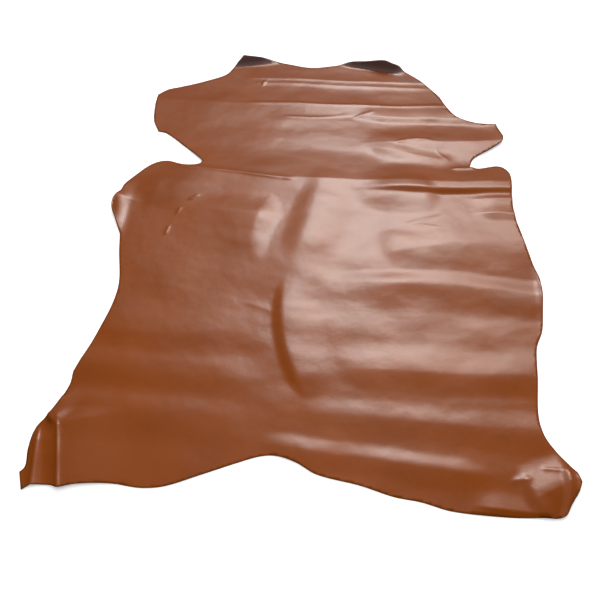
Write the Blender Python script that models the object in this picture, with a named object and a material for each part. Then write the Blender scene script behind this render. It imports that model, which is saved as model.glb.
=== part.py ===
"""Leather hide: one whole tanned skin, cut along its own outline and lying grain side up.

Blender script, metres, +Z up. The neck points along +Y and the hind legs along -Y. The origin is the
middle of the space that the hide fills, on the floor. The hide is one sheet of even thickness: its edge
and its folds are drawn below in millimetres, on the flat skin, and the surface is worked out from them.
"""

import math
from collections import namedtuple

import bpy
import numpy as np
from mathutils import Vector
from mathutils.geometry import delaunay_2d_cdt

MM = 0.001

THICKNESS = 1.2  # finished leather, in mm
LEATHER_SRGB = "96583E"
LEATHER_ROUGHNESS = 0.38

EDGE_STEP = 15.0  # mm between points on the edge
FOLD_STEP = 22.0  # mm between points on a fold's crest
SHEET_STEP = 23.0  # mm between points on the open sheet
CLOSEST = 0.55  # no two points are closer than this share of the step there
SLOPE_ROWS = (0.0, 0.5, 1.0, 0.25, 0.75)  # rows of points along a fold, as shares of its slopes
SLIM_ENDS = 0.4  # a fold's slopes narrow by this share towards its two ends

# The edge of the flat skin, anticlockwise from the left ear. Each row is one stretch, with its points as
# (across, along). The edge runs smoothly through a stretch and turns sharply where the next one starts.
EDGE = (
    ("left cheek", (-204, 509), (-222, 483), (-240, 450), (-288, 421), (-340, 397), (-366, 386)),
    ("left foreleg end", (-385, 366), (-384, 325), (-377, 280)),
    ("left armpit", (-361, 247), (-342, 242), (-300, 208), (-256, 168), (-250, 157), (-259, 148)),
    ("left shoulder", (-285, 146), (-325, 157), (-352, 147), (-378, 118), (-397, 88)),
    ("left flank lip", (-400, 64), (-410, 35), (-408, 12), (-396, -8)),
    ("left flank", (-378, -42), (-370, -82), (-354, -150), (-353, -195), (-361, -245)),
    ("left thigh", (-386, -338), (-386, -362), (-400, -408), (-418, -436), (-420, -470), (-416, -498)),
    ("left hind leg tip", (-422, -507),),
    ("left hind leg end", (-411, -533), (-398, -526), (-372, -524)),
    ("left of the tail", (-356, -528), (-330, -520), (-280, -515), (-235, -518), (-200, -513),
     (-150, -493), (-100, -472), (-62, -458)),
    ("right of the tail", (-38, -456), (-8, -464), (25, -480), (90, -492), (140, -505), (180, -510),
     (225, -520), (300, -523), (350, -521), (384, -518), (397, -500), (409, -483)),
    ("right thigh", (417, -466), (411, -447), (392, -423), (376, -398), (371, -370), (377, -310),
     (386, -240), (400, -205), (406, -165), (411, -102)),
    ("right flank", (402, -66), (390, -5), (381, 55), (384, 120), (386, 162), (376, 182), (362, 187),
     (325, 177)),
    ("right armpit", (307, 181), (318, 208), (352, 235), (382, 262)),
    ("right foreleg end", (387, 279),),
    ("right cheek", (376, 319), (330, 320), (292, 335), (272, 365), (258, 402), (238, 431),
     (212, 462), (172, 496)),
    ("neck", (152, 504), (132, 512), (90, 511), (45, 510), (15, 501), (-40, 490), (-100, 501),
     (-150, 509)),
)
ROUNDED = ("left shoulder", "right of the tail", "neck")  # stretches that start without a corner

# A fold is a low ridge. Its crest runs from the start to the end point and bows to its left in the
# middle. Left and right are the widths of its two slopes. Rise and sink are the lengths over which it
# grows at its start and dies away at its end. Crisp is the share of its height whose slopes steepen up to
# a sharp crest, and the rest is rounded.
Fold = namedtuple("Fold", "name start end bow height left right rise sink crisp")
FOLDS = (
    Fold("neck fold", (-430, 353), (430, 378), -10, 2.4, 54, 84, 5, 5, 0.8),
    Fold("cheek fold", (50, 325), (430, 331), 0, 2.8, 50, 22, 80, 5, 0.3),
    Fold("right shoulder fold", (60, 238), (430, 266), 0, 5.8, 58, 70, 100, 5, 0.5),
    Fold("blister foot", (92, 233), (284, 197), -5, 2.2, 26, 34, 50, 30, 0.3),
    Fold("back fold", (-400, 144), (430, 142), -18, 7.0, 90, 150, 170, 5, 0.8),
    Fold("right shoulder fold, outer", (60, 106), (430, 126), -3, 5.2, 90, 18, 140, 5, 0.1),
    Fold("right shoulder fold, near", (64, 78), (246, 92), 3, 4.8, 60, 54, 100, 40, 0.1),
    Fold("right shoulder crease", (286, 85), (430, 98), 0, 3.2, 22, 40, 70, 5, 0.7),
    Fold("right flank crease", (294, 45), (412, 49), 7, 3.4, 34, 24, 50, 5, 0.6),
    Fold("right back dent", (105, -22), (205, -19), 0, 1.5, 28, 60, 45, 45, 0.0),
    Fold("right loin fold", (40, -80), (430, -2), 8, 10.0, 170, 125, 230, 5, 0.2),
    Fold("right rump fold, far", (0, -128), (430, -135), 8, 4.4, 35, 64, 170, 5, 0.1),
    Fold("right rump fold, middle", (30, -300), (430, -294), 0, 3.1, 54, 44, 80, 5, 0.15),
    Fold("right rump fold, near", (-25, -382), (430, -387), 0, 1.8, 34, 44, 60, 5, 0.15),
    Fold("tail fold", (-80, -434), (310, -464), -4, 2.3, 26, 34, 60, 80, 0.15),
    Fold("right thigh crease", (250, -512), (374, -513), 0, 3.0, 30, 9, 40, 14, 0.6),
    Fold("left rump fold, far", (-430, -250), (-20, -258), 0, 2.4, 75, 46, 5, 190, 0.0),
    Fold("left rump fold, middle", (-430, -326), (-20, -330), 0, 2.4, 66, 46, 5, 190, 0.0),
    Fold("left rump fold, near", (-430, -392), (-20, -402), 0, 2.4, 42, 60, 5, 190, 0.0),
    Fold("spine, withers", (-46, -102), (8, 162), -5, 4.4, 46, 90, 92, 125, 0.0),
    Fold("spine, loin", (-54, -205), (-12, 60), 0, 3.6, 190, 100, 120, 90, 0.0),
    Fold("spine, rump", (8, -364), (-50, -115), 22, 4.6, 22, 75, 50, 80, 0.0),
    Fold("left of the withers", (-108, -120), (-98, 82), 24, 6.2, 200, 54, 150, 62, 0.0),
    Fold("left flank crease", (-430, 62), (-345, 36), 0, 3.0, 30, 34, 10, 50, 0.6),
    Fold("left flank swell", (-375, 92), (-190, 80), 0, 3.4, 40, 95, 50, 110, 0.0),
    Fold("left hind leg, outer ridge", (-414, -430), (-393, -545), 0, 5.0, 30, 18, 30, 5, 0.6),
    Fold("left hind leg, inner ridge", (-392, -404), (-350, -545), 0, 8.0, 110, 26, 30, 5, 0.6),
    Fold("left hind leg, top crease", (-414, -400), (-384, -432), 0, 5.0, 60, 14, 5, 18, 0.6),
    Fold("right hind leg, swell", (330, -500), (428, -452), 0, 8, 54, 60, 24, 30, 0.25),
    Fold("right hind leg, crease", (400, -436), (381, -530), 8, 4, 12, 14, 14, 5, 0.5),
    Fold("right hind leg, flap", (414, -440), (410, -496), 4, 6.0, 14, 14, 14, 14, 0.4),
)

# A curl is an edge that turns up past a straight bend line, to the left of the line from start to end. It
# bends with the radius up to the steepest angle, in degrees, and eases in and out over the two shares of
# the line's length.
Curl = namedtuple("Curl", "name start end radius steepest ease_in ease_out")
CURLS = (
    Curl("right ear", (8, 502), (182, 470), 13, 80, 0.28, 0.22),
    Curl("left ear", (-236, 471), (-84, 501), 15, 72, 0.15, 0.60),
    Curl("left flank lip", (-366, -62), (-372, 116), 44, 50, 0.30, 0.55),
    Curl("right flank lip", (396, -50), (392, -232), 34, 34, 0.30, 0.30),
)

# Where small folds need closer points: the lowest and highest point of the patch, and the step there.
Patch = namedtuple("Patch", "name low high step")
PATCHES = (
    Patch("left hind leg", (-428, -540), (-340, -402), 8.5),
    Patch("right hind leg", (345, -530), (426, -415), 9.5),
    Patch("right ear", (20, 484), (176, 530), 9.5),
    Patch("left ear", (-230, 484), (-100, 525), 9.5),
    Patch("left flank lip", (-418, -56), (-356, 104), 12.0),
)


def smooth(t):
    """0 up to t = 0, 1 from t = 1, and an even rise between them."""
    t = np.clip(t, 0.0, 1.0)
    return t * t * (3.0 - 2.0 * t)


def step_at(x, y, elsewhere):
    """The distance between points here: a patch's own, or else the one given."""
    for patch in PATCHES:
        if patch.low[0] <= x <= patch.high[0] and patch.low[1] <= y <= patch.high[1]:
            return patch.step
    return elsewhere


def edge_curve():
    """The closed edge as short straight pieces, through every point of every stretch."""
    marks, corners = [], []
    for name, *stretch in EDGE:
        corners += [name not in ROUNDED] + [False] * (len(stretch) - 1)
        marks += [Vector(p) for p in stretch]
    curve = []
    for i, here in enumerate(marks):
        following = marks[(i + 1) % len(marks)]
        chord = following - here
        before = here - chord if corners[i] else marks[i - 1]
        after = marks[(i + 2) % len(marks)]
        if corners[(i + 1) % len(marks)]:
            after = following + chord
        leave = (following - before).normalized() * chord.length
        arrive = (after - here).normalized() * chord.length
        step = step_at(here.x, here.y, EDGE_STEP)
        pieces = max(1, round(chord.length / step))
        for piece in range(pieces):
            t = piece / pieces
            curve.append(
                here * (2 * t**3 - 3 * t**2 + 1)
                + leave * (t**3 - 2 * t**2 + t)
                + following * (3 * t**2 - 2 * t**3)
                + arrive * (t**3 - t**2)
            )
    return curve


class Scatter:
    """Points on the flat skin. A new one is left out where it would crowd an earlier one."""

    CELL = 12.0

    def __init__(self):
        self.points = []
        self.cells = {}

    def cell(self, x, y):
        return math.floor(x / self.CELL), math.floor(y / self.CELL)

    def add(self, x, y, gap):
        column, row = self.cell(x, y)
        reach = math.ceil(gap / self.CELL)
        for i in range(column - reach, column + reach + 1):
            for j in range(row - reach, row + reach + 1):
                if any(math.dist((x, y), p) < gap for p in self.cells.get((i, j), ())):
                    return
        self.points.append((x, y))
        self.cells.setdefault((column, row), []).append((x, y))


def fold_point(fold, share, side=0.0):
    """A point at a share of a fold's length: on its crest, or that far to the left of it."""
    start, end = Vector(fold.start), Vector(fold.end)
    along = end - start
    left = Vector((-along.y, along.x)).normalized()
    return start + along * share + left * (side + fold.bow * 4 * share * (1 - share))


def flat_triangles():
    """The flat skin as triangles: its points, its faces, and its edge as a closed run of points."""
    edge = edge_curve()
    scatter = Scatter()
    for point in edge:
        scatter.add(point.x, point.y, 0.0)
    for fold, row in [(fold, row) for row in SLOPE_ROWS for fold in FOLDS]:
        length = math.dist(fold.start, fold.end)
        pieces = max(2, round(length / step_at(*fold_point(fold, 0.5), FOLD_STEP)))
        for side in (row * fold.left, -row * fold.right):
            for piece in range(pieces + 1):
                point = fold_point(fold, piece / pieces, side)
                scatter.add(*point, CLOSEST * step_at(*point, FOLD_STEP))
    for step, reach in [(patch.step, (patch.low, patch.high)) for patch in PATCHES] + [
        (SHEET_STEP, ((-430, -545), (430, 540)))
    ]:
        (low_x, low_y), (high_x, high_y) = reach
        row_step = step * math.sqrt(0.75)
        for row in range(math.ceil((high_y - low_y) / row_step)):
            for column in range(math.ceil((high_x - low_x) / step)):
                x = low_x + (column + 0.5 * (row % 2)) * step
                y = low_y + row * row_step
                scatter.add(x, y, CLOSEST * step_at(x, y, step))
    count = len(edge)
    loop = [(i, (i + 1) % count) for i in range(count)]
    points = [Vector(p) for p in scatter.points]
    points, _, faces, _, _, _ = delaunay_2d_cdt(points, loop, [], 1, 1e-4)
    return np.array(points), faces


def ridge_height(fold, x, y):
    """How high one fold lifts the skin at each point."""
    start, end = np.array(fold.start, float), np.array(fold.end, float)
    length = math.dist(start, end)
    along = (end - start) / length
    run = (x - start[0]) * along[0] + (y - start[1]) * along[1]
    side = (y - start[1]) * along[0] - (x - start[0]) * along[1]
    share = np.clip(run / length, 0.0, 1.0)
    side = side - fold.bow * 4.0 * share * (1.0 - share)
    ease = smooth(run / fold.rise) * smooth((length - run) / fold.sink)
    width = np.where(side > 0.0, fold.left, fold.right) * (1.0 - SLIM_ENDS * (1.0 - ease))
    far = np.clip(np.abs(side) / width, 0.0, 1.0)
    slope = (1.0 - fold.crisp) * (1.0 - smooth(far)) + fold.crisp * (1.0 - far) ** 1.5
    return fold.height * ease * slope


def curled(curl, place):
    """Turns up the part of the skin that lies past a bend line."""
    start, end = np.array(curl.start, float), np.array(curl.end, float)
    length = math.dist(start, end)
    along = (end - start) / length
    out = np.array((-along[1], along[0]))
    run = (place[:, 0] - start[0]) * along[0] + (place[:, 1] - start[1]) * along[1]
    past = (place[:, 0] - start[0]) * out[0] + (place[:, 1] - start[1]) * out[1]
    share = run / length
    grip = smooth(share / curl.ease_in) * smooth((1.0 - share) / curl.ease_out)
    bent = (grip > 1e-3) & (past > 0.0) & (past < 4.0 * curl.radius)
    radius = curl.radius / np.maximum(grip, 1e-3)
    angle = np.minimum(past / radius, math.radians(curl.steepest))
    straight = past - radius * angle
    reach = radius * np.sin(angle) + straight * np.cos(angle)
    rise = radius * (1.0 - np.cos(angle)) + straight * np.sin(angle)
    moved = place.copy()
    moved[bent, :2] += np.outer(reach - past, out)[bent]
    moved[bent, 2] += rise[bent]
    return moved


def skin_surface(x, y):
    """Where the points of the flat skin's grain side lie in space."""
    height = sum(ridge_height(fold, x, y) for fold in FOLDS)
    place = np.column_stack((x, y, np.maximum(height, 0.0) + THICKNESS))
    for curl in CURLS:
        place = curled(curl, place)
    return place


def skin_normals(x, y):
    """The direction straight out of the grain side at each point."""
    nudge = 0.5
    across = skin_surface(x + nudge, y) - skin_surface(x - nudge, y)
    along = skin_surface(x, y + nudge) - skin_surface(x, y - nudge)
    normals = np.cross(across, along)
    return normals / np.linalg.norm(normals, axis=1)[:, None]


def closed_sheet(points, faces):
    """Both sides of the skin and the cut edge between them, as one closed mesh in mm."""
    x, y = points[:, 0], points[:, 1]
    grain = skin_surface(x, y)
    flesh = grain - THICKNESS * skin_normals(x, y)
    used = sorted({i for face in faces for i in face})
    number = {old: new for new, old in enumerate(used)}
    count = len(used)
    top = [tuple(number[i] for i in face) for face in faces]
    sides = {(a, b) for face in top for a, b in zip(face, face[1:] + face[:1])}
    rim = [(b, a, a + count, b + count) for a, b in sides if (b, a) not in sides]
    under = [tuple(i + count for i in reversed(face)) for face in top]
    verts = np.vstack((grain[used], flesh[used]))
    verts[:, :2] -= (verts[:, :2].min(axis=0) + verts[:, :2].max(axis=0)) / 2.0
    return verts, top + under + rim


def leather_material():
    """Smooth tanned leather with a pigmented, lightly glossy finish."""
    material = bpy.data.materials.new("tan_leather")
    material.use_nodes = True
    shader = material.node_tree.nodes["Principled BSDF"]
    srgb = [int(LEATHER_SRGB[i : i + 2], 16) / 255 for i in (0, 2, 4)]
    linear = [c / 12.92 if c <= 0.04045 else ((c + 0.055) / 1.055) ** 2.4 for c in srgb]
    shader.inputs["Base Color"].default_value = (*linear, 1.0)
    shader.inputs["Roughness"].default_value = LEATHER_ROUGHNESS
    shader.inputs["Metallic"].default_value = 0.0
    return material


def build_hide():
    """The hide as one object, with its place in its mesh."""
    verts, faces = closed_sheet(*flat_triangles())
    mesh = bpy.data.meshes.new("hide")
    mesh.from_pydata([tuple(v * MM for v in vert) for vert in verts.tolist()], [], faces)
    mesh.materials.append(leather_material())
    mesh.shade_smooth()
    hide = bpy.data.objects.new("hide", mesh)
    bpy.context.scene.collection.objects.link(hide)


for leftover in list(bpy.data.objects):
    bpy.data.objects.remove(leftover, do_unlink=True)
build_hide()
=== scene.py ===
"""The looks of the leather hide: its skin with every fold and crease, its finish, and the scene round it.

Metres, +Z up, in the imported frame. The tables of the edge, the folds and the curls are in millimetres on
the flat skin, with the neck towards +Y, and the surface of the lying hide is worked out from them.
"""

import math
from collections import namedtuple

import bpy
import numpy as np
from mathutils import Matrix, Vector, kdtree, noise
from mathutils.geometry import delaunay_2d_cdt


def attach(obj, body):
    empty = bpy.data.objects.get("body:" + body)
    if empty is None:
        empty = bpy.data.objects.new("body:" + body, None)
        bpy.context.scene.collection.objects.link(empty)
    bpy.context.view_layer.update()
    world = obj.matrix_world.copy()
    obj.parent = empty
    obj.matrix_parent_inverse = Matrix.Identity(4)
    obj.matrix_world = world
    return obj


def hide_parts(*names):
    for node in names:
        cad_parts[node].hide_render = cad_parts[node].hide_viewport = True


MM = 0.001

# The leather
THICKNESS = 1.2

# How closely the surface is drawn: mm between points on the cut edge, on the two sides of the skin, and
# along the rows that follow each crest
EDGE_STEP = 3.6
GRAIN_STEP = 3.9
FLESH_STEP = 8.0
CREST_STEP = 3.2
CREST_ROWS = (0.0, 2.4, -2.4, 5.2, -5.2)  # mm to the left of the crest
CRISP_ENOUGH = 0.15  # a rounder fold than this needs no rows of its own
CROWDED = 0.62  # a point closer than this share of its step to an earlier one is left out
CROWDED_CREST = 0.8  # and on the crest rows, this share of that distance
LATTICE_HALF = (430.0, 545.0)  # mm across and along, past the edge all round
TRIANGULATION_SLACK = 1e-5
INSIDE_THE_EDGE = 1  # the triangulation's choice of what to keep
NORMAL_NUDGE = 0.4  # mm to each side, over which the surface's slope is taken

# The edge of the flat skin, anticlockwise from the left ear. Each row is one stretch, with its points as
# (across, along). The edge runs smoothly through a stretch and turns sharply where the next one starts.
EDGE = (
    ("left cheek", (-204, 509), (-222, 483), (-240, 450), (-288, 421), (-340, 397), (-366, 386)),
    ("left foreleg end", (-385, 366), (-384, 325), (-377, 280)),
    ("left armpit", (-361, 247), (-342, 242), (-300, 208), (-256, 168), (-250, 157), (-259, 148)),
    ("left shoulder", (-285, 146), (-325, 157), (-352, 147), (-378, 118), (-397, 88)),
    ("left flank lip", (-400, 64), (-410, 35), (-408, 12), (-396, -8)),
    ("left flank", (-378, -42), (-370, -82), (-354, -150), (-353, -195), (-361, -245)),
    ("left thigh", (-386, -338), (-386, -362), (-400, -408), (-418, -436), (-420, -470), (-416, -498)),
    ("left hind leg tip", (-422, -507)),
    ("left hind leg end", (-411, -533), (-398, -526), (-372, -524)),
    ("left of the tail", (-356, -528), (-330, -520), (-280, -515), (-235, -518), (-200, -513),
     (-150, -493), (-100, -472), (-62, -458)),
    ("right of the tail", (-38, -456), (-8, -464), (25, -480), (90, -492), (140, -505), (180, -510),
     (225, -520), (300, -523), (350, -521), (384, -518), (397, -500), (409, -483)),
    ("right thigh", (417, -466), (411, -447), (392, -423), (376, -398), (371, -370), (377, -310),
     (386, -240), (400, -205), (406, -165), (411, -102)),
    ("right flank", (402, -66), (390, -5), (381, 55), (384, 120), (386, 162), (376, 182), (362, 187),
     (325, 177)),
    ("right armpit", (307, 181), (318, 208), (352, 235), (382, 262)),
    ("right foreleg end", (387, 279)),
    ("right cheek", (376, 319), (330, 320), (292, 335), (272, 365), (258, 402), (238, 431),
     (212, 462), (172, 496)),
    ("neck", (152, 504), (132, 512), (90, 511), (45, 510), (15, 501), (-40, 490), (-100, 501),
     (-150, 509)),
)
ROUNDED = ("left shoulder", "right of the tail", "neck")  # stretches that start without a corner

# A fold is a low ridge. Its crest runs from the start to the end point and bows to its left in the
# middle. Left and right are the widths of its two slopes. Rise and sink are the lengths over which it
# grows at its start and dies away at its end. Crisp is the share of its height whose slopes steepen all
# the way up to a sharp crest, and the rest is rounded at the crest and at the foot.
Fold = namedtuple("Fold", "name start end bow height left right rise sink crisp")
FOLDS = (
    Fold("neck knot", (-151, 413), (-143, 438), 0, 1.6, 5, 5, 10, 10, 0.5),
    Fold("upper neck fold", (-190, 441), (260, 450), 0, 1.0, 44, 8, 30, 60, 0.8),
    Fold("lower neck fold", (-178, 426), (258, 431), 0, 1.1, 40, 12, 30, 60, 0.8),
    Fold("neck fold", (-430, 353), (430, 378), -10, 2.4, 54, 84, 5, 5, 0.8),
    Fold("neck line", (-190, 356), (305, 374), -6, 1.0, 8, 8, 50, 5, 1.0),
    Fold("throat fold", (-128, 298), (78, 306), 0, 0.7, 18, 34, 40, 30, 0.2),
    Fold("throat crease", (-96, 313), (66, 328), -6, 0.7, 8, 7, 25, 25, 0.8),
    Fold("throat nick", (58, 314), (112, 344), 0, 0.6, 6, 8, 14, 14, 0.6),
    Fold("cheek fold", (50, 325), (430, 331), 0, 2.8, 50, 22, 80, 5, 0.3),
    Fold("left shoulder fold", (-290, 255), (190, 252), 0, 0.5, 42, 90, 120, 100, 0.0),
    Fold("right shoulder fold", (60, 238), (430, 266), 0, 5.8, 58, 70, 100, 5, 0.5),
    Fold("blister rim", (148, 240), (250, 251), 12, 0.9, 5, 9, 14, 30, 0.8),
    Fold("blister edge", (236, 242), (268, 198), -6, 0.4, 6, 7, 12, 12, 0.8),
    Fold("blister foot", (92, 233), (284, 197), -5, 2.2, 26, 34, 50, 30, 0.3),
    Fold("back fold", (-400, 144), (430, 142), -18, 7.0, 90, 150, 170, 5, 0.8),
    Fold("left back line", (-300, 141), (-46, 119), 0, 1.0, 12, 7, 10, 20, 1.0),
    Fold("right armpit crease", (262, 174), (318, 179), 0, 1.6, 6, 8, 20, 5, 0.6),
    Fold("right shoulder fold, outer", (60, 106), (430, 126), -3, 5.2, 90, 18, 140, 5, 0.1),
    Fold("right shoulder fold, near", (64, 78), (246, 92), 3, 4.8, 60, 54, 100, 40, 0.1),
    Fold("right shoulder crease", (286, 85), (430, 98), 0, 3.2, 22, 40, 70, 5, 0.7),
    Fold("right flank crease", (294, 45), (412, 49), 7, 3.4, 34, 24, 50, 5, 0.6),
    Fold("right back crease", (165, 16), (250, 45), -3, 0.45, 6, 6, 30, 30, 0.4),
    Fold("right back nick", (160, 17), (240, 9), 0, 0.4, 5, 5, 20, 20, 0.5),
    Fold("right back dent", (105, -22), (205, -19), 0, 1.5, 28, 60, 45, 45, 0.0),
    Fold("right loin fold", (40, -80), (430, -2), 8, 10.0, 170, 125, 230, 5, 0.2),
    Fold("right rump fold, far", (0, -128), (430, -135), 8, 4.4, 35, 64, 170, 5, 0.1),
    Fold("right rump fold, middle", (30, -300), (430, -294), 0, 3.1, 54, 44, 80, 5, 0.15),
    Fold("right rump fold, near", (-25, -382), (430, -387), 0, 1.8, 34, 44, 60, 5, 0.15),
    Fold("tail fold", (-80, -434), (310, -464), -4, 2.3, 26, 34, 60, 80, 0.15),
    Fold("right thigh crease", (250, -512), (374, -513), 0, 3.0, 30, 9, 40, 14, 0.6),
    Fold("right thigh nick", (312, -469), (350, -462), 0, 1.3, 9, 9, 12, 12, 0.6),
    Fold("left rump fold, far", (-430, -250), (-20, -258), 0, 2.4, 75, 46, 5, 190, 0.0),
    Fold("left rump fold, middle", (-430, -326), (-20, -330), 0, 2.4, 66, 46, 5, 190, 0.0),
    Fold("left rump fold, near", (-430, -392), (-20, -402), 0, 2.4, 42, 60, 5, 190, 0.0),
    Fold("spine, withers", (-46, -102), (8, 162), -5, 4.4, 46, 90, 92, 125, 0.0),
    Fold("spine, loin", (-54, -205), (-12, 60), 0, 3.6, 190, 100, 120, 90, 0.0),
    Fold("spine, rump", (8, -364), (-50, -115), 22, 4.6, 22, 75, 50, 80, 0.0),
    Fold("left loin crease", (-135, -180), (-50, -206), 2, 0.45, 12, 10, 30, 30, 0.5),
    Fold("left of the withers", (-108, -120), (-98, 82), 24, 6.2, 200, 54, 150, 62, 0.0),
    Fold("left flank crease", (-430, 62), (-345, 36), 0, 3.0, 30, 34, 10, 50, 0.6),
    Fold("left flank swell", (-375, 92), (-190, 80), 0, 3.4, 40, 95, 50, 110, 0.0),
    Fold("left flank nick, far", (-262, 47), (-238, 66), 0, 1.2, 5, 4, 8, 10, 0.6),
    Fold("left flank nick, middle", (-279, 10), (-271, 33), 0, 1.2, 4, 4, 8, 8, 0.6),
    Fold("left flank nick, near", (-292, -40), (-286, -12), 0, 1.3, 4, 5, 8, 8, 0.6),
    Fold("left hind leg, outer ridge", (-414, -430), (-393, -545), 0, 5.0, 30, 18, 30, 5, 0.6),
    Fold("left hind leg, outer line", (-415, -432), (-395, -540), 0, 1.7, 5, 3, 16, 5, 1.0),
    Fold("left hind leg, inner ridge", (-392, -404), (-350, -545), 0, 8.0, 110, 26, 30, 5, 0.6),
    Fold("left hind leg, inner line", (-386, -424), (-352, -540), 0, 2.0, 5, 3, 10, 5, 1.0),
    Fold("left hind leg, top crease", (-414, -400), (-384, -432), 0, 5.0, 60, 14, 5, 18, 0.6),
    Fold("left hind leg, top line", (-406, -411), (-388, -430), -2, 1.6, 5, 3, 5, 8, 1.0),
    Fold("right hind leg, swell", (330, -500), (428, -452), 0, 8.0, 54, 60, 24, 30, 0.25),
    Fold("right hind leg, crease", (400, -436), (381, -530), 8, 4.0, 12, 14, 14, 5, 0.5),
    Fold("right hind leg, nick", (360, -447), (394, -450), 2, 0.9, 6, 7, 8, 8, 0.8),
    Fold("right hind leg, flap", (414, -440), (410, -496), 4, 6.0, 14, 14, 14, 14, 0.4),
)
SLIM_ENDS = 0.4  # a fold's slopes narrow by this share towards its two ends
BOW_SHAPE = 4.0  # makes share * (1 - share) reach 1 in the middle of a crest
CRISP_POWER = 1.5  # of the even fall from crest to foot, which makes it steepest at the crest

# The folds stray along the hide by slow waves, so that none runs quite straight. Across and along are
# the mm that each wave takes to turn by one radian.
Wave = namedtuple("Wave", "height across along start")
STRAY_WAVES = (Wave(1.4, 61, 90, 1.3), Wave(0.9, 27, -70, 0.4))

# The faint bumps that a limp skin keeps between its folds, wider across the hide than along it
Bumps = namedtuple("Bumps", "height across along layer")
LOOSE_LIFT = 0.9
LOOSE_BUMPS = (Bumps(0.9, 75, 48, 0.0), Bumps(0.16, 27, 18, 7.0))

# A curl is an edge that turns up past a straight bend line, to the left of the line from start to end. It
# bends with the radius up to the steepest angle, in degrees, and eases in and out over the two shares of
# the line's length.
Curl = namedtuple("Curl", "name start end radius steepest ease_in ease_out")
CURLS = (
    Curl("right ear", (8, 502), (182, 470), 13, 80, 0.28, 0.22),
    Curl("left ear", (-236, 471), (-84, 501), 15, 72, 0.15, 0.60),
    Curl("left flank lip", (-366, -62), (-372, 116), 44, 50, 0.30, 0.55),
    Curl("right flank lip", (396, -50), (392, -232), 34, 34, 0.30, 0.30),
)
CURL_REACH = 4.0  # radii past the bend line, beyond which the skin belongs to another part of the edge
LEAST_GRIP = 1e-3

# Where the painted shade of the two curled ears starts, a dark plum-grey that stands in for the shade on
# their upturned faces, in mm
# on the lying hide: past this distance towards +Y, sooner by the slant for each mm to either side of the
# middle between the ears
EAR_SHADE_MIDDLE = -35.0
EAR_SHADE_SLANT = 0.197
EAR_SHADE_FADE = (505.0, 514.0)
EAR_SHADE_LIFT = (2.4, 3.8)  # and only where the skin has risen off the floor by this much

# The lights, in metres and watts. The window is a bank of panes, so that it shines in the satin coat as a
# bright patch with soft ends.
SoftLight = namedtuple("SoftLight", "name place width height power colour")
WINDOW_AIM = (0.1, 0.0, 0.0)
WINDOW = (
    SoftLight("window_curtain", (-1.10, 3.90, 4.90), 1.8, 1.4, 18.0, "FFE4D2"),
    SoftLight("window_left_pane", (0.02, 3.90, 4.85), 0.64, 1.66, 64.0, "FFFFFF"),
    SoftLight("window_middle_pane", (0.93, 3.90, 4.85), 1.18, 1.66, 86.0, "FFF6EF"),
    SoftLight("window_right_pane", (2.18, 3.75, 4.85), 1.32, 1.66, 50.0, "FFF2E9"),
    SoftLight("window_sill", (1.20, 3.90, 3.39), 2.8, 0.48, 10.0, "FFE4D2"),
)
OVERHEAD_AIM = (-0.1, -0.1, 0.0)
OVERHEAD = SoftLight("overhead_panel", (-0.1, -0.3, 2.0), 1.6, 1.6, 30.0, "FFFFFF")

# The room round the hide: its grey from the horizon up to straight overhead, by the height of the view
# direction, and how much brighter it is towards the window
ROOM = (
    (0.0, (0.07, 0.08, 0.10)),
    (0.02, (0.17, 0.17, 0.17)),
    (0.4, (0.17, 0.17, 0.17)),
    (0.65, (0.34, 0.34, 0.34)),
    (0.74, (0.34, 0.34, 0.34)),
    (0.94, (0.03, 0.03, 0.03)),
)
WINDOW_SIDE = (0.3, 0.95, 0.0)
SIDE_FADE = {"From Min": -0.4, "From Max": 0.8, "To Min": 0.15, "To Max": 1.1}

FLOOR_HALF = 30.0  # metres
FLOOR_GLOW = 0.4

# The camera, where the photograph was taken from
EYE = (0.0215, -0.740, 0.900)
EYE_PITCH = 57.0  # degrees below the horizon
EYE_TURN = 4.0  # degrees towards the left
LENS = 36.0
FRAME_WIDTH = 36.0


def smooth(t):
    """0 up to t = 0, 1 from t = 1, and an even rise between them."""
    t = np.clip(t, 0.0, 1.0)
    return t * t * (3.0 - 2.0 * t)


def edge_curve(step):
    """The closed edge as short straight pieces, through every point of every stretch."""
    marks, corners = [], []
    for name, *stretch in EDGE:
        corners += [name not in ROUNDED] + [False] * (len(stretch) - 1)
        marks += [Vector(p) for p in stretch]
    curve = []
    for i, here in enumerate(marks):
        following = marks[(i + 1) % len(marks)]
        chord = following - here
        before = here - chord if corners[i] else marks[i - 1]
        after = marks[(i + 2) % len(marks)]
        if corners[(i + 1) % len(marks)]:
            after = following + chord
        leave = (following - before).normalized() * chord.length
        arrive = (after - here).normalized() * chord.length
        pieces = max(1, round(chord.length / step))
        for piece in range(pieces):
            t = piece / pieces
            curve.append(
                here * (2 * t**3 - 3 * t**2 + 1)
                + leave * (t**3 - 2 * t**2 + t)
                + following * (3 * t**2 - 2 * t**3)
                + arrive * (t**3 - t**2)
            )
    return np.array(curve)


def fold_rows():
    """Rows of points along the crest and the slopes of each crisp fold."""
    rows = []
    for fold in FOLDS:
        if fold.crisp < CRISP_ENOUGH:
            continue
        start, end = np.array(fold.start, float), np.array(fold.end, float)
        length = math.dist(start, end)
        along = (end - start) / length
        left = np.array((-along[1], along[0]))
        share = np.linspace(0.0, 1.0, max(2, round(length / CREST_STEP)))[:, None]
        crest = start + (end - start) * share + left * fold.bow * BOW_SHAPE * share * (1 - share)
        crest[:, 1] -= wander(*crest.T)
        for side in CREST_ROWS:
            rows.append(crest + left * side)
    return rows


def thinned(groups, edge):
    """The edge and the points of all the groups, without those closer than their gap to earlier ones."""
    kept = [edge]
    for points, gap in groups:
        near = kdtree.KDTree(sum(len(k) for k in kept))
        for i, p in enumerate(np.vstack(kept)):
            near.insert((p[0], p[1], 0.0), i)
        near.balance()
        clear = [near.find((p[0], p[1], 0.0))[2] > gap for p in points]
        kept.append(points[np.array(clear, bool)])
    return np.vstack(kept)


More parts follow.
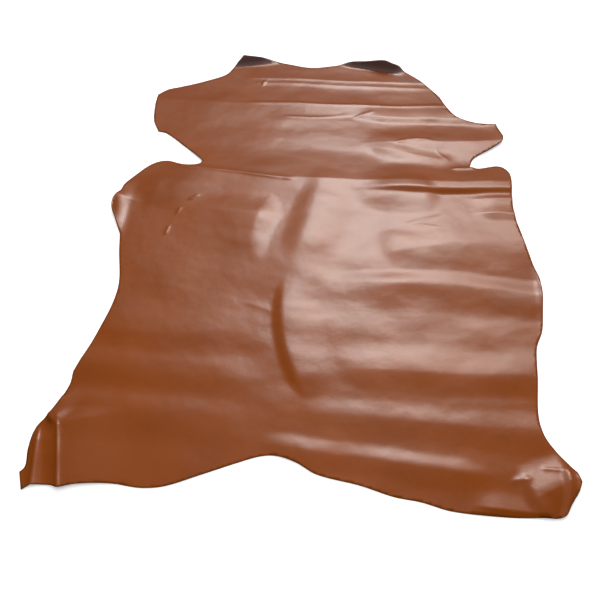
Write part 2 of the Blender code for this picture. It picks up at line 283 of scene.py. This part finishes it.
def lattice(step):
    """An even triangular lattice over the whole skin."""
    row_step = step * math.sqrt(0.75)
    across, along = LATTICE_HALF
    rows = []
    for row in range(math.ceil(2 * along / row_step)):
        x = np.arange(-across + 0.5 * step * (row % 2), across, step)
        rows.append(np.column_stack((x, np.full(len(x), -along + row * row_step))))
    return np.vstack(rows)


def triangles(edge, groups):
    """The flat skin as triangles between its edge and the groups of points inside it."""
    points = [Vector(p) for p in thinned(groups, edge)]
    count = len(edge)
    loop = [(i, (i + 1) % count) for i in range(count)]
    points, _, faces, *_ = delaunay_2d_cdt(points, loop, [], INSIDE_THE_EDGE, TRIANGULATION_SLACK)
    used = sorted({i for face in faces for i in face})
    number = {old: new for new, old in enumerate(used)}
    faces = [tuple(number[i] for i in face) for face in faces]
    return np.array(points)[used], faces


def wander(x, y):
    """How far the folds stray along the hide at each point."""
    return sum(wave.height * np.sin(x / wave.across + y / wave.along + wave.start) for wave in STRAY_WAVES)


def unevenness(x, y):
    """How far the faint bumps between the folds lift the skin at each point."""
    lift = LOOSE_LIFT
    for bumps in LOOSE_BUMPS:
        spots = zip(x / bumps.across, y / bumps.along)
        lift = lift + bumps.height * np.array([noise.noise((a, b, bumps.layer)) for a, b in spots])
    return lift


def ridge_height(fold, x, y):
    """How high one fold lifts the skin at each point."""
    start, end = np.array(fold.start, float), np.array(fold.end, float)
    length = math.dist(start, end)
    along = (end - start) / length
    run = (x - start[0]) * along[0] + (y - start[1]) * along[1]
    side = (y - start[1]) * along[0] - (x - start[0]) * along[1]
    share = np.clip(run / length, 0.0, 1.0)
    side = side - fold.bow * BOW_SHAPE * share * (1.0 - share)
    ease = smooth(run / fold.rise) * smooth((length - run) / fold.sink)
    width = np.where(side > 0.0, fold.left, fold.right) * (1.0 - SLIM_ENDS * (1.0 - ease))
    far = np.clip(np.abs(side) / width, 0.0, 1.0)
    rounded = 1.0 - smooth(far)
    sharp = (1.0 - far) ** CRISP_POWER
    return fold.height * ease * ((1.0 - fold.crisp) * rounded + fold.crisp * sharp)


def curled(curl, place):
    """Turns up the part of the skin that lies past a bend line."""
    start, end = np.array(curl.start, float), np.array(curl.end, float)
    length = math.dist(start, end)
    along = (end - start) / length
    out = np.array((-along[1], along[0]))
    run = (place[:, 0] - start[0]) * along[0] + (place[:, 1] - start[1]) * along[1]
    past = (place[:, 0] - start[0]) * out[0] + (place[:, 1] - start[1]) * out[1]
    share = run / length
    grip = smooth(share / curl.ease_in) * smooth((1.0 - share) / curl.ease_out)
    bent = (grip > LEAST_GRIP) & (past > 0.0) & (past < CURL_REACH * curl.radius)
    radius = curl.radius / np.maximum(grip, LEAST_GRIP)
    angle = np.minimum(past / radius, math.radians(curl.steepest))
    straight = past - radius * angle
    reach = radius * np.sin(angle) + straight * np.cos(angle)
    rise = radius * (1.0 - np.cos(angle)) + straight * np.sin(angle)
    moved = place.copy()
    moved[bent, :2] += np.outer(reach - past, out)[bent]
    moved[bent, 2] += rise[bent]
    return moved


def skin_surface(x, y):
    """Where the points of the flat skin's grain side lie in space."""
    drawn = x, y + wander(x, y)
    height = sum(ridge_height(fold, *drawn) for fold in FOLDS) + unevenness(x, y)
    place = np.column_stack((x, y, np.maximum(height, 0.0) + THICKNESS))
    for curl in CURLS:
        place = curled(curl, place)
    return place


def skin_normals(x, y):
    """The direction straight out of the grain side at each point."""
    across = skin_surface(x + NORMAL_NUDGE, y) - skin_surface(x - NORMAL_NUDGE, y)
    along = skin_surface(x, y + NORMAL_NUDGE) - skin_surface(x, y - NORMAL_NUDGE)
    normals = np.cross(across, along)
    return normals / np.linalg.norm(normals, axis=1)[:, None]


def hide_mesh():
    """The grain side, the flesh side and the cut edge between them as one closed mesh."""
    edge = edge_curve(EDGE_STEP)
    rows = [(row, CROWDED * CREST_STEP * CROWDED_CREST) for row in fold_rows()]
    grain_points, grain_faces = triangles(edge, rows + [(lattice(GRAIN_STEP), CROWDED * GRAIN_STEP)])
    flesh_points, flesh_faces = triangles(edge, [(lattice(FLESH_STEP), CROWDED * FLESH_STEP)])
    grain = skin_surface(*grain_points.T)
    flesh = skin_surface(*flesh_points.T) - THICKNESS * skin_normals(*flesh_points.T)
    shift = len(grain)
    under = [tuple(i + shift for i in reversed(face)) for face in flesh_faces]
    around = [(a, (a + 1) % len(edge)) for a in range(len(edge))]
    rim = [(b, a, a + shift, b + shift) for a, b in around]
    verts = np.vstack((grain, flesh))
    verts[:, :2] -= (verts[:, :2].min(axis=0) + verts[:, :2].max(axis=0)) / 2.0
    mesh = bpy.data.meshes.new("hide_skin")
    mesh.from_pydata((verts * MM).tolist(), [], grain_faces + under + rim)
    finishes = [index for index, group in enumerate((grain_faces, under, rim)) for _ in group]
    mesh.polygons.foreach_set("material_index", finishes)
    mesh.shade_smooth()
    return mesh


def linear(srgb_hex):
    """An sRGB hex colour as linear RGBA."""
    channels = [int(srgb_hex[i : i + 2], 16) / 255 for i in (0, 2, 4)]
    return (*[c / 12.92 if c <= 0.04045 else ((c + 0.055) / 1.055) ** 2.4 for c in channels], 1.0)


def add(tree, kind, inputs=None, **settings):
    """Adds one node. Settings are its properties, and inputs are values or sockets for its inputs."""
    made = tree.nodes.new(kind)
    for name, value in settings.items():
        setattr(made, name, value)
    for name, value in (inputs or {}).items():
        socket = made.inputs[name]
        if isinstance(value, bpy.types.NodeSocket):
            tree.links.new(value, socket)
        else:
            socket.default_value = value
    return made


def new_material(name):
    """An empty node material with its shader and output."""
    material = bpy.data.materials.new(name)
    material.use_nodes = True
    tree = material.node_tree
    tree.nodes.clear()
    shader = add(tree, "ShaderNodeBsdfPrincipled")
    add(tree, "ShaderNodeOutputMaterial", {"Surface": shader.outputs["BSDF"]})
    return material, tree, shader


def per_mm(size):
    """The texture scale that makes a pattern this many mm wide, on Object coordinates in metres."""
    return 1.0 / (size * MM)


def painted_ear_shade_mask(tree, where):
    """1 on the curled ears, which are painted dark plum-grey as shade on their upturned faces, and 0
    elsewhere.
    """
    place = add(tree, "ShaderNodeSeparateXYZ", {"Vector": where})
    from_middle = {0: place.outputs["X"], 1: -EAR_SHADE_MIDDLE * MM}
    shifted = add(tree, "ShaderNodeMath", from_middle, operation="ADD")
    aside = add(tree, "ShaderNodeMath", {0: shifted.outputs[0]}, operation="ABSOLUTE")
    past = add(
        tree,
        "ShaderNodeMath",
        {0: aside.outputs[0], 1: EAR_SHADE_SLANT, 2: place.outputs["Y"]},
        operation="MULTIPLY_ADD",
    )
    beyond = add(
        tree,
        "ShaderNodeMapRange",
        {"Value": past.outputs[0], "From Min": EAR_SHADE_FADE[0] * MM, "From Max": EAR_SHADE_FADE[1] * MM},
        interpolation_type="SMOOTHSTEP",
    )
    lifted = add(
        tree,
        "ShaderNodeMapRange",
        {"Value": place.outputs["Z"], "From Min": EAR_SHADE_LIFT[0] * MM, "From Max": EAR_SHADE_LIFT[1] * MM},
        interpolation_type="SMOOTHSTEP",
    )
    both = add(
        tree,
        "ShaderNodeMath",
        {0: beyond.outputs["Result"], 1: lifted.outputs["Result"]},
        operation="MULTIPLY",
    )
    return both.outputs[0]


def finished_grain_leather():
    """Drum-dyed leather with a pigmented tan top coat, plated smooth, which gives a soft satin sheen."""
    material, tree, shader = new_material("finished_grain_leather")
    where = add(tree, "ShaderNodeTexCoord").outputs["Object"]
    # The dye takes a little unevenly over areas as wide as a hand, and more finely between them
    cloud = add(tree, "ShaderNodeTexNoise", {"Vector": where, "Scale": per_mm(110), "Detail": 3.0})
    fleck = add(tree, "ShaderNodeTexNoise", {"Vector": where, "Scale": per_mm(9), "Detail": 5.0})
    shade = add(tree, "ShaderNodeMath", {0: cloud.outputs["Fac"], 1: 0.75}, operation="MULTIPLY")
    tone = add(
        tree,
        "ShaderNodeMath",
        {0: fleck.outputs["Fac"], 1: 0.25, 2: shade.outputs[0]},
        operation="MULTIPLY_ADD",
    )
    ramp = add(tree, "ShaderNodeValToRGB", {"Fac": tone.outputs[0]})
    ramp.color_ramp.elements[0].position = 0.3
    ramp.color_ramp.elements[0].color = linear("783803")
    ramp.color_ramp.elements[1].position = 0.7
    ramp.color_ramp.elements[1].color = linear("843F05")
    # Painted shade: the curled ears are mixed to a dark plum-grey that stands in for the shade on their
    # upturned faces
    ears = painted_ear_shade_mask(tree, where)
    colour = add(
        tree, "ShaderNodeMix", {0: ears, 6: ramp.outputs["Color"], 7: linear("634B47")}, data_type="RGBA"
    )
    # Hair pores stand in groups 1 to 2 mm apart, drawn a little coarser so that they show. The ripples are
    # the slack of the skin, a finger's width from crest to crest.
    pores = add(tree, "ShaderNodeTexVoronoi", {"Vector": where, "Scale": per_mm(2.2)})
    ripple = add(tree, "ShaderNodeTexNoise", {"Vector": where, "Scale": per_mm(26), "Detail": 4.0})
    relief = add(
        tree,
        "ShaderNodeBump",
        {"Height": pores.outputs["Distance"], "Strength": 0.12, "Distance": 0.0003},
    )
    waves = add(
        tree,
        "ShaderNodeBump",
        {"Height": ripple.outputs["Fac"], "Strength": 0.3, "Distance": 0.0015,
         "Normal": relief.outputs["Normal"]},
    )
    tree.links.new(colour.outputs[2], shader.inputs["Base Color"])
    tree.links.new(waves.outputs["Normal"], shader.inputs["Normal"])
    shader.inputs["Roughness"].default_value = 0.31
    shader.inputs["IOR"].default_value = 1.57
    return material


def flesh_suede():
    """The flesh side, shaved and drum-dyed: a brown, matt, fibrous nap."""
    material, tree, shader = new_material("flesh_suede")
    where = add(tree, "ShaderNodeTexCoord").outputs["Object"]
    # The fibres of the nap are under 1 mm long, drawn as coarse as they need to show
    nap = add(tree, "ShaderNodeTexNoise", {"Vector": where, "Scale": per_mm(3), "Detail": 6.0})
    ramp = add(tree, "ShaderNodeValToRGB", {"Fac": nap.outputs["Fac"]})
    ramp.color_ramp.elements[0].position = 0.3
    ramp.color_ramp.elements[0].color = linear("5E3A22")
    ramp.color_ramp.elements[1].position = 0.7
    ramp.color_ramp.elements[1].color = linear("8A6038")
    relief = add(
        tree, "ShaderNodeBump", {"Height": nap.outputs["Fac"], "Strength": 0.6, "Distance": 0.0005}
    )
    tree.links.new(ramp.outputs["Color"], shader.inputs["Base Color"])
    tree.links.new(relief.outputs["Normal"], shader.inputs["Normal"])
    shader.inputs["Roughness"].default_value = 0.95
    shader.inputs["Sheen Weight"].default_value = 0.3
    return material


def raw_cut_edge():
    """The cut through the skin, where the dye is darkest and the fibres are open and matt."""
    material, tree, shader = new_material("raw_cut_edge")
    where = add(tree, "ShaderNodeTexCoord").outputs["Object"]
    # Fibre bundles are a few tenths of a mm thick, drawn as coarse as they need to show
    fibre = add(tree, "ShaderNodeTexNoise", {"Vector": where, "Scale": per_mm(1.5), "Detail": 4.0})
    ramp = add(tree, "ShaderNodeValToRGB", {"Fac": fibre.outputs["Fac"]})
    ramp.color_ramp.elements[0].color = linear("2E1C14")
    ramp.color_ramp.elements[1].color = linear("5A3A26")
    tree.links.new(ramp.outputs["Color"], shader.inputs["Base Color"])
    shader.inputs["Roughness"].default_value = 0.9
    return material


def make_hide():
    """The whole skin as one sheet that takes the CAD solid's place."""
    mesh = hide_mesh()
    for finish in (finished_grain_leather(), flesh_suede(), raw_cut_edge()):
        mesh.materials.append(finish)
    hide = bpy.data.objects.new("hide_skin", mesh)
    bpy.context.scene.collection.objects.link(hide)
    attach(hide, "root")
    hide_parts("hide")


def make_floor():
    """A plain pale floor that the hide lies on."""
    mesh = bpy.data.meshes.new("floor")
    corners = [(FLOOR_HALF * x, FLOOR_HALF * y, 0.0) for x, y in ((-1, -1), (1, -1), (1, 1), (-1, 1))]
    mesh.from_pydata(corners, [], [(0, 1, 2, 3)])
    material, _, shader = new_material("pale_floor")
    shader.inputs["Base Color"].default_value = linear("F4F4F4")
    shader.inputs["Roughness"].default_value = 0.9
    shader.inputs["Specular IOR Level"].default_value = 0.0
    shader.inputs["Emission Color"].default_value = linear("FFFFFF")
    shader.inputs["Emission Strength"].default_value = FLOOR_GLOW
    mesh.materials.append(material)
    floor = bpy.data.objects.new("floor", mesh)
    bpy.context.scene.collection.objects.link(floor)
    floor.visible_diffuse = False  # the white floor would light the dark side of every curl
    floor.visible_glossy = False


def add_soft_light(soft, aim):
    """A rectangular soft light that faces the point it aims at."""
    light = bpy.data.lights.new(soft.name, "AREA")
    light.shape = "RECTANGLE"
    light.size = soft.width
    light.size_y = soft.height
    light.energy = soft.power
    light.color = linear(soft.colour)[:3]
    lamp = bpy.data.objects.new(soft.name, light)
    lamp.location = soft.place
    lamp.rotation_euler = (Vector(aim) - Vector(soft.place)).to_track_quat("-Z", "Y").to_euler()
    bpy.context.scene.collection.objects.link(lamp)
    return lamp


def light_room():
    """A dim room all round, brighter towards the window."""
    world = bpy.data.worlds.new("studio")
    world.use_nodes = True
    tree = world.node_tree
    background = tree.nodes["Background"]
    view = add(tree, "ShaderNodeTexCoord").outputs["Generated"]
    height = add(tree, "ShaderNodeSeparateXYZ", {"Vector": view})
    room = add(tree, "ShaderNodeValToRGB", {"Fac": height.outputs["Z"]})
    stops = room.color_ramp.elements
    for index, (position, colour) in enumerate(ROOM):
        stop = stops[index] if index < 2 else stops.new(position)
        stop.position = position
        stop.color = (*colour, 1.0)
    towards = add(tree, "ShaderNodeVectorMath", {0: view, 1: WINDOW_SIDE}, operation="DOT_PRODUCT")
    side = add(tree, "ShaderNodeMapRange", {"Value": towards.outputs["Value"], **SIDE_FADE})
    tree.links.new(room.outputs["Color"], background.inputs["Color"])
    tree.links.new(side.outputs["Result"], background.inputs["Strength"])
    bpy.context.scene.world = world


def light_scene():
    """A window high beyond the neck and to the right, a soft panel overhead, and the room."""
    for pane in WINDOW:
        add_soft_light(pane, WINDOW_AIM)
    panel = add_soft_light(OVERHEAD, OVERHEAD_AIM)
    panel.visible_glossy = False
    light_room()


def make_camera():
    """The camera at the photograph's viewing angle."""
    lens = bpy.data.cameras.new("camera")
    lens.sensor_width = FRAME_WIDTH
    lens.lens = LENS
    camera = bpy.data.objects.new("camera", lens)
    camera.location = EYE
    camera.rotation_euler = (math.radians(90.0 - EYE_PITCH), 0.0, math.radians(EYE_TURN))
    bpy.context.scene.collection.objects.link(camera)
    bpy.context.scene.camera = camera


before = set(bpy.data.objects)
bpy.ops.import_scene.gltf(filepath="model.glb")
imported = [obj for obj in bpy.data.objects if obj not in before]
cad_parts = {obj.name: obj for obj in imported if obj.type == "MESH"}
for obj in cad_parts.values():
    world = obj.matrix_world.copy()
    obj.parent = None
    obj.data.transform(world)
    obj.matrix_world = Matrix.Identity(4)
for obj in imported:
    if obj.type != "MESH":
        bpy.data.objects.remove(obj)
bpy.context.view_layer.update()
make_camera()
make_floor()
make_hide()
light_scene()
bpy.context.scene.view_settings.view_transform = "Standard"
